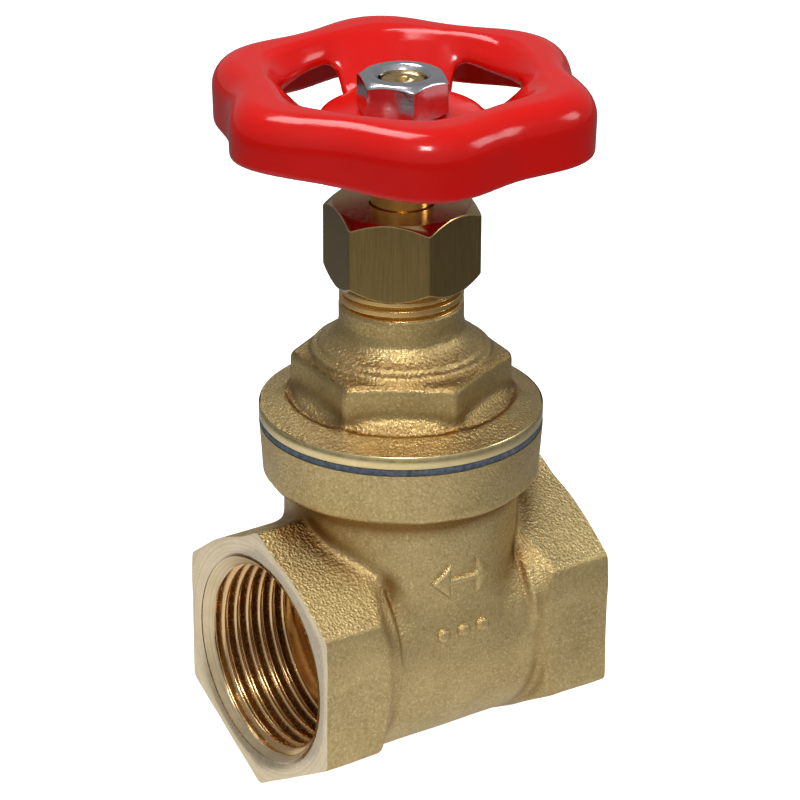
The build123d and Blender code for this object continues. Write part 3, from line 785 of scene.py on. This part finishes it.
def make_bonnet():
    low, high = RIM_TOP_Z, NECK_THREAD_FOOT_Z - 0.1
    inner = BOX_R + 0.3

    def field(u, y, z):
        return np.maximum(cast_bonnet(u, y, z), inner - np.sqrt(u * u + y * y) - 30 * (z < low - 2))

    points, quads = surface(field, (-19, -19, low - 1.5), (19, 19, high + 1.5), 0.27)
    points, faces = clip_mesh(points, quads.tolist(), 2, high, 1)
    points, faces = clip_mesh(points, faces, 2, low + 0.05, -1)
    keep = [f for f in faces if np.mean([math.hypot(points[i][0], points[i][1]) for i in f]) > inner + 1]
    build = Build()
    build.add(points, keep, 0, hollowness(cast_bonnet, points, 2.0))
    # turned rim, spigot and hollow
    count = 256
    rim = [(FLANGE_R - 0.1, low + 0.06), (FLANGE_R, low - 0.06), (FLANGE_R, GASKET_TOP_Z + 0.12),
           (FLANGE_R - 0.12, GASKET_TOP_Z), (SPIGOT_R, GASKET_TOP_Z), (SPIGOT_R, BONNET_LOW[2]),
           (CAVITY_R, BONNET_LOW[2]), (CAVITY_R, BONNET_CAVITY_TOP_Z), (8.7, 32.0), (6.4, 33.0),
           (6.4, COLLAR_Z - 0.4), (6.0, COLLAR_Z - 0.4), (6.0, THROAT_Z), (STEM_R + RUNNING, THROAT_Z),
           (STEM_R + RUNNING, BOX_FLOOR_Z), (BOX_R, BOX_FLOOR_Z), (BOX_R, NECK_TOP_Z),
           (NECK_R - NECK_CHAMFER, NECK_TOP_Z), (NECK_R, NECK_TOP_Z - NECK_CHAMFER)]
    build.rings([circle(r, z, count) for r, z in rim][::-1], 1)
    # thread on the neck
    angle = np.arange(count) * 2 * math.pi / count
    rows = []
    length = NECK_TOP_Z - NECK_CHAMFER - high
    steps = int(length / NECK_THREAD_PITCH * 20)
    for row in range(steps + 1):
        z = high + length * row / steps
        phase = ((z - high) / NECK_THREAD_PITCH - angle / (2 * math.pi) - 0.09) % 1.0
        depth = smooth_step(1 - np.abs(phase - 0.5) / 0.27)
        fade = min(1, (z - high) / 0.2)
        rows.append(circle(NECK_R - 0.04 - NECK_THREAD_DEPTH * depth * fade, z, count))
    build.rings(rows, 2)
    build.object("valve_bonnet", [CAST_BONNET, RIM, NECK], "valve", ["bonnet"], 75)


# ------------------------------------------------------------------ nuts turned from hexagon bar
def hexagon_radius(angle, flats, turn, rounding):
    """How far out a hexagon bar is at each angle, its corners a little rounded."""
    lean = (angle - turn) % math.radians(60) - math.radians(30)
    return soft_min(flats / 2 / np.cos(lean), flats / math.sqrt(3) - rounding * 0.2 + 0 * lean, rounding)


BAR_COUNT = 360


def bar_nut(build, flats, turn, low, high, foot_slope, top_slope, face_r, edge, slot_faces, slot_ends):
    """Outside of a hexagon nut with conical chamfers, between its two round end faces."""
    angle = np.arange(BAR_COUNT) * 2 * math.pi / BAR_COUNT
    out = hexagon_radius(angle, flats, turn, 0.25)
    over = np.maximum(out - face_r, 0)
    foot = low + over * foot_slope
    top = high - over * top_slope
    lower = [(face_r, low), (face_r + 0.3 * over, low + 0.3 * over * foot_slope),
             (out - edge, foot - edge * foot_slope), (out - edge * 0.25, foot + edge * 0.25),
             (out, foot + edge)]
    upper = [(out, top - edge), (out - edge * 0.25, top - edge * 0.25), (out - edge, top + edge * top_slope),
             (face_r + 0.3 * over, high - 0.3 * over * top_slope), (face_r, high)]
    sides = [(out, foot + edge + (top - foot - 2 * edge) * t) for t in (0.0, 0.5, 1.0)]
    build.rings([circle(r, z, BAR_COUNT) for r, z in lower], slot_ends)
    build.rings([circle(r, z, BAR_COUNT) for r, z in sides], slot_faces)
    build.rings([circle(r, z, BAR_COUNT) for r, z in upper], slot_ends)


def make_packing_nut():
    build = Build()
    low, high = NUT_LOW[2], NUT_HIGH[2]
    face_r = NUT_FLATS / 2 - 0.08
    bar_nut(build, NUT_FLATS, NUT_TURN, low, high, 1.0, 0.85, face_r, 0.12, 0, 1)
    hollow = [(face_r, high), (STEM_R + 0.3, high), (STEM_R + 0.12, high - 0.2), (STEM_R + 0.1, NUT_ROOF_Z),
              (NECK_R, NUT_ROOF_Z), (NECK_R, low + 0.3), (NECK_R + 0.3, low), (face_r, low)]
    build.rings([circle(r, z, BAR_COUNT) for r, z in hollow], 1)
    build.object("packing_nut_bar", [BAR, NUT_END], "valve", ["packing_nut"], 22)


def make_wheel_nut():
    build = Build()
    low, high = HUB_TOP_Z, TOP_NUT_TOP_Z
    face_r = TOP_NUT_FLATS / 2 - 0.25
    bore_r = WHEEL_THREAD_R + 0.06
    bar_nut(build, TOP_NUT_FLATS, TOP_NUT_TURN, low, high - 0.12, 0.5, 0.55, face_r, 0.16, 0, 0)
    hollow = [(face_r, high - 0.12), (face_r - 0.35, high - 0.02), (face_r - 0.8, high),
              (bore_r + 0.69, high), (bore_r + 0.44, high - 0.12), (bore_r, high - 0.65), (bore_r, low),
              (face_r, low)]
    build.rings([circle(r, z, BAR_COUNT) for r, z in hollow], 0)
    build.object("handwheel_nut_hexagon", [ZINC], "stem", ["handwheel_nut"], 30)


# ------------------------------------------------------------------ stem
def make_stem():
    """Turned spindle: lifting thread, collar, clip groove, polished length, drive square and threaded end."""
    build = Build()
    count = 144
    angle = np.arange(count) * 2 * math.pi / count
    foot = STEM_LOW[2]
    rows = [circle(2.7, foot, count)]
    # two-start lifting thread, easing out under the collar
    start = foot + 0.7
    steps = int((COLLAR_Z - start) / STEM_LEAD * 24)
    for row in range(steps + 1):
        z = start + (COLLAR_Z - start) * row / steps
        phase = (z / STEM_LEAD * 2 - angle / math.pi) % 1.0
        depth = np.clip((0.36 - np.abs(phase - 0.5)) / 0.1, 0, 1)
        ease = min(1, COLLAR_Z - z)
        rows.append(circle(STEM_THREAD_R - STEM_THREAD_DEPTH * depth * ease, z, count))
    square_z = HUB_TOP_Z - SHEET
    shaft = [(COLLAR_R - 0.1, COLLAR_Z), (COLLAR_R, COLLAR_Z + 0.1), (COLLAR_R, THROAT_Z - 0.2),
             (COLLAR_R - 0.1, THROAT_Z - 0.1), (STEM_R, THROAT_Z - 0.05), (STEM_R, BOX_FLOOR_Z + 0.05),
             (CLIP_GROOVE_R, BOX_FLOOR_Z + 0.1), (CLIP_GROOVE_R, BOX_FLOOR_Z + 1.0),
             (STEM_R, BOX_FLOOR_Z + 1.05), (STEM_R, 67.0), (STEM_R, square_z - 0.1),
             (STEM_R - 0.15, square_z)]
    rows += [circle(r, z, count) for r, z in shaft]
    lean = (angle - SPOKE_TURN + math.radians(45)) % math.radians(90) - math.radians(45)
    square = np.minimum(2.93 / np.cos(lean), SQUARE_CORNER_R)
    rows += [circle(square, square_z, count), circle(square, HUB_TOP_Z - 0.05, count)]
    build.rings(rows, 0, close_start=True)
    # threaded end, its point faced and centre-drilled
    rows = [circle(2.75, HUB_TOP_Z - 0.05, count)]
    steps = 70
    top = STEM_TOP_Z - 0.35
    for row in range(steps + 1):
        z = HUB_TOP_Z + (top - HUB_TOP_Z) * row / steps
        phase = (z - angle / (2 * math.pi)) % 1.0
        rows.append(circle(2.62 + 0.36 * np.abs(phase * 2 - 1), z, count))
    tip = [(2.55, STEM_TOP_Z - 0.08), (2.3, STEM_TOP_Z), (0.95, STEM_TOP_Z - 0.02), (0.8, STEM_TOP_Z - 0.12),
           (0.35, STEM_TOP_Z - 0.75), (0.02, STEM_TOP_Z - 0.9)]
    rows += [circle(r, z, count) for r, z in tip]
    build.rings(rows, 0, close_end=True)
    build.object("stem_spindle", [TURNED], "stem", ["stem"], 35)


# ------------------------------------------------------------------ handwheel
def wheel_section():
    """Middle of the sheet from the hub out over the crest and down the skirt, as (radius, height)."""
    half = SHEET / 2
    hub = HUB_TOP_Z - half
    points = [(1.0, hub), (HUB_R - 0.6, hub)]
    for t in (0.1, 0.25, 0.4, 0.55, 0.7, 0.85, 0.95):
        rise = float(smooth_step(t))
        points.append((HUB_R - 0.3 + (DISH_R - HUB_R) * t, hub + (CREST_Z - half - hub) * rise))
    bend = SHOULDER - half
    for lean in range(90, -1, -10):
        a = math.radians(lean)
        points.append((WHEEL_R - SHOULDER + bend * math.cos(a), CREST_Z - SHOULDER + bend * math.sin(a)))
    points.append((WHEEL_R - half - SKIRT_DRAFT, SKIRT_FOOT_Z - 2))
    return points


SECTION = wheel_section()


def window_distance(r, angle):
    """Distance to the nearest of the three windows between the spokes, in the wheel's plane."""
    step = 2 * math.pi / SPOKES
    lean = (angle - SPOKE_TURN) % step - step / 2
    along = np.clip((r - WINDOW_IN_R) / (WINDOW_OUT_R - WINDOW_IN_R), 0, 1)
    half = WINDOW_IN_HALF + (WINDOW_OUT_HALF - WINDOW_IN_HALF) * along
    sides = (np.abs(lean) - half) * r * 0.93
    return soft_max(soft_max(sides, r - WINDOW_OUT_R, 2.2), WINDOW_IN_R - r, 1.2)


def wheel_field(u, y, z):
    """Distance to the pressed wheel: a sheet along the section, lobed, with rolled windows."""
    r = np.sqrt(u * u + y * y)
    angle = np.arctan2(y, u)
    wave = np.cos(LOBES * (angle - LOBE_TURN))
    opening = window_distance(r, angle)
    near = np.exp(-(np.maximum(opening, 0) / WINDOW_ROLL_REACH) ** 2)
    rolled = WINDOW_ROLL * near * smooth_step((r - 9.5) / 1.5)
    step = 2 * math.pi / SPOKES
    lean = (angle - SPOKE_TURN + step / 2) % step - step / 2
    groove = SPOKE_GROOVE * np.exp(-(lean * r / SPOKE_GROOVE_HALF) ** 2)
    groove = groove * smooth_step((r - HUB_R) / 1.5) * smooth_step((17 - r) / 2)
    flat_r = r - LOBE_HEIGHT * wave * smooth_step((r - LOBE_START_R) / LOBE_RUN)
    flat_z = z + rolled + groove
    best = None
    for (r0, z0), (r1, z1) in zip(SECTION, SECTION[1:]):
        dr, dz = r1 - r0, z1 - z0
        t = np.clip(((flat_r - r0) * dr + (flat_z - z0) * dz) / (dr * dr + dz * dz), 0, 1)
        d = (flat_r - r0 - t * dr) ** 2 + (flat_z - z0 - t * dz) ** 2
        best = d if best is None else np.minimum(best, d)
    sheet = np.sqrt(best) - SHEET / 2
    sheet = soft_max(sheet, -opening, 0.7)
    past = (np.mod(angle, 2 * math.pi) - SKIRT_RISE_AT) / SKIRT_RISE_REACH
    foot = SKIRT_FOOT_Z + 0.1 + SKIRT_RISE * np.exp(-past ** 2)
    sheet = soft_max(sheet, foot - z, 0.5)
    across = np.abs(u * math.cos(SPOKE_TURN) + y * math.sin(SPOKE_TURN))
    along = np.abs(y * math.cos(SPOKE_TURN) - u * math.sin(SPOKE_TURN))
    return np.maximum(sheet, SQUARE_HALF - np.maximum(across, along))


def make_wheel():
    reach = WHEEL_R + LOBE_HEIGHT + 1
    low = (-reach, -reach, SKIRT_FOOT_Z - 0.6)
    high = (reach, reach, CREST_Z + 0.6)
    build = Build()
    build.add(*surface(wheel_field, low, high, 0.36))
    build.object("handwheel_pressing", [ENAMEL], "stem", ["handwheel"], 60)


make_gasket()
make_bonnet()
make_packing_nut()
make_wheel_nut()
make_stem()
make_wheel()


# ------------------------------------------------------------------ finishes of the inner CAD pieces
INNER_FINISHES = (
    (CAST, ("wedge",)),
    (TURNED, ("stem_retaining_ring", "packing_washer", "gland_follower")),
    (PACKING, ("packing_ring_1", "packing_ring_2", "packing_ring_3")),
)


def repaint(node, material):
    """Gives a CAD piece that shows as it is its finish."""
    slots = bpy.data.objects[node].data.materials
    slots.clear()
    slots.append(material)


for material, nodes in INNER_FINISHES:
    for node in nodes:
        repaint(node, material)


# ------------------------------------------------------------------ floor, light and camera
FLOOR_HALF = 3.0                       # metres, like everything else below
PAINTED_POOL_CENTRE = (-0.04, -0.02)          # middle of the pool of light painted on the paper, its brightest spot, from the inlet
PAINTED_POOL_REACH = 0.25                     # where the painted pool of light has faded fully, for the brass that mirrors the paper
# brightness of the painted pool from its middle outwards
PAINTED_POOL_LEVELS = ((0.0, 0.95), (0.3, 0.75), (0.55, 0.25), (1.0, 0.10))
PAINTED_GLOW_SHARE = 0.48                      # share of the paper's brightness that isn't the lamps': a painted glow of the paper's own
ROOM_FRONT = (-0.40, -0.60, 0.75)      # the room's brightest direction
ROOM_LEVELS = ((0.0, 0.30), (0.5, 0.28), (0.78, 0.36), (1.0, 0.6))
LAMPS = (                              # name, place from the target, size, power
    ("key", (-0.36, -0.52, 0.86), 0.24, 6.0),
    ("fill", (0.75, -0.50, 0.45), 0.30, 1.6),
    ("top", (-0.05, 0.34, 0.92), 0.40, 4.5),
)
TARGET = Vector((STEM_X * MM, 0, 0.03))
AZIMUTH = math.radians(-35.1)          # the camera's way round from the front, towards the inlet
ELEVATION = math.radians(23.95)
ROLL = math.radians(0.31)
DISTANCE = 0.4891
LENS_MM = 174.15
LENS_SHIFT = (-0.00115, 0.00464)


def stage(name, data):
    """Puts a mesh, lamp or camera of the studio in the scene."""
    holder = bpy.data.objects.new(name, data)
    bpy.context.scene.collection.objects.link(holder)
    return holder


def paper():
    """White and nearly shadowless to the lens; the brass mirrors a duller sheet with a painted pool of light,
    bright only in front, which glows on the brass as painted light.
    """
    n = Nodes("paper")
    sight = n.tree.nodes.new("ShaderNodeLightPath").outputs["Is Camera Ray"]
    away = n.tree.nodes.new("ShaderNodeVectorMath")
    away.operation = "DISTANCE"
    n.set(away, 0, n.place)
    away.inputs[1].default_value = (*PAINTED_POOL_CENTRE, FLOOR_Z * MM)
    far = n.node("ShaderNodeMapRange", Value=away.outputs["Value"])
    far.inputs["From Max"].default_value = PAINTED_POOL_REACH
    sheet = n.ramp(far.outputs[0], *[(at, (level,) * 3) for at, level in PAINTED_POOL_LEVELS])
    dim = n.mix(1.0, sheet, (PAINTED_GLOW_SHARE,) * 3, "MULTIPLY")
    # for other rays both the colour and the emission are the painted pool, a glow that lights the brass
    # though the paper is no lamp
    return n.finish(Base_Color=n.mix(sight, dim, (0.5, 0.5, 0.5)), Roughness=0.9,
                    Emission_Color=n.mix(sight, dim, (1, 1, 1)), Emission_Strength=1.0)


def make_floor():
    mesh = bpy.data.meshes.new("floor")
    corners = ((-1, -1), (1, -1), (1, 1), (-1, 1))
    points = [(x * FLOOR_HALF, y * FLOOR_HALF, FLOOR_Z * MM) for x, y in corners]
    mesh.from_pydata(points, [], [(0, 1, 2, 3)])
    mesh.materials.append(paper())
    stage("floor", mesh)


def make_room():
    """The lens sees a white room, the brass a dimmer one that is brightest above the front."""
    world = bpy.data.worlds.new("studio")
    bpy.context.scene.world = world
    world.use_nodes = True
    tree = world.node_tree
    place = tree.nodes.new("ShaderNodeTexCoord")
    toward = tree.nodes.new("ShaderNodeVectorMath")
    toward.operation = "DOT_PRODUCT"
    toward.inputs[1].default_value = Vector(ROOM_FRONT).normalized()
    tree.links.new(place.outputs["Generated"], toward.inputs[0])
    share = tree.nodes.new("ShaderNodeMapRange")
    share.inputs["From Min"].default_value = -1.0
    tree.links.new(toward.outputs["Value"], share.inputs["Value"])
    levels = tree.nodes.new("ShaderNodeValToRGB")
    while len(levels.color_ramp.elements) < len(ROOM_LEVELS):
        levels.color_ramp.elements.new(0.5)
    for element, (at, level) in zip(levels.color_ramp.elements, ROOM_LEVELS):
        element.position = at
        element.color = (level, level, level, 1)
    tree.links.new(share.outputs[0], levels.inputs["Fac"])
    dim = tree.nodes["Background"]
    dim.inputs["Strength"].default_value = 1.0
    tree.links.new(levels.outputs["Color"], dim.inputs["Color"])
    white = tree.nodes.new("ShaderNodeBackground")
    white.inputs["Color"].default_value = (1, 1, 1, 1)
    path = tree.nodes.new("ShaderNodeLightPath")
    blend = tree.nodes.new("ShaderNodeMixShader")
    tree.links.new(path.outputs["Is Camera Ray"], blend.inputs[0])
    tree.links.new(dim.outputs[0], blend.inputs[1])
    tree.links.new(white.outputs[0], blend.inputs[2])
    tree.links.new(blend.outputs[0], tree.nodes["World Output"].inputs["Surface"])


def make_lamps():
    """Square soft lamps, all turned to the target."""
    for name, place, size, power in LAMPS:
        lamp = bpy.data.lights.new(name, "AREA")
        lamp.shape = "SQUARE"
        lamp.size = size
        lamp.energy = power
        holder = stage(name, lamp)
        holder.location = TARGET + Vector(place)
        holder.rotation_mode = "QUATERNION"
        holder.rotation_quaternion = (-Vector(place)).to_track_quat("-Z", "Y")


def make_camera():
    """A long lens from the inlet's side of the front, looking down a little."""
    back = Vector((math.sin(AZIMUTH) * math.cos(ELEVATION), -math.cos(AZIMUTH) * math.cos(ELEVATION),
                   math.sin(ELEVATION)))
    level = Vector((math.cos(AZIMUTH), math.sin(AZIMUTH), 0))
    upright = back.cross(level)
    right = math.cos(ROLL) * level + math.sin(ROLL) * upright
    up = math.cos(ROLL) * upright - math.sin(ROLL) * level
    data = bpy.data.cameras.new("camera")
    data.sensor_width = 36
    data.lens = LENS_MM
    data.shift_x, data.shift_y = LENS_SHIFT
    data.clip_start, data.clip_end = 0.01, 20
    holder = stage("camera", data)
    turn = Matrix((right, up, back)).transposed().to_4x4()
    holder.matrix_world = Matrix.Translation(TARGET + back * DISTANCE) @ turn
    bpy.context.scene.camera = holder


make_floor()
make_room()
make_lamps()
make_camera()
bpy.context.scene.view_settings.view_transform = "Standard"
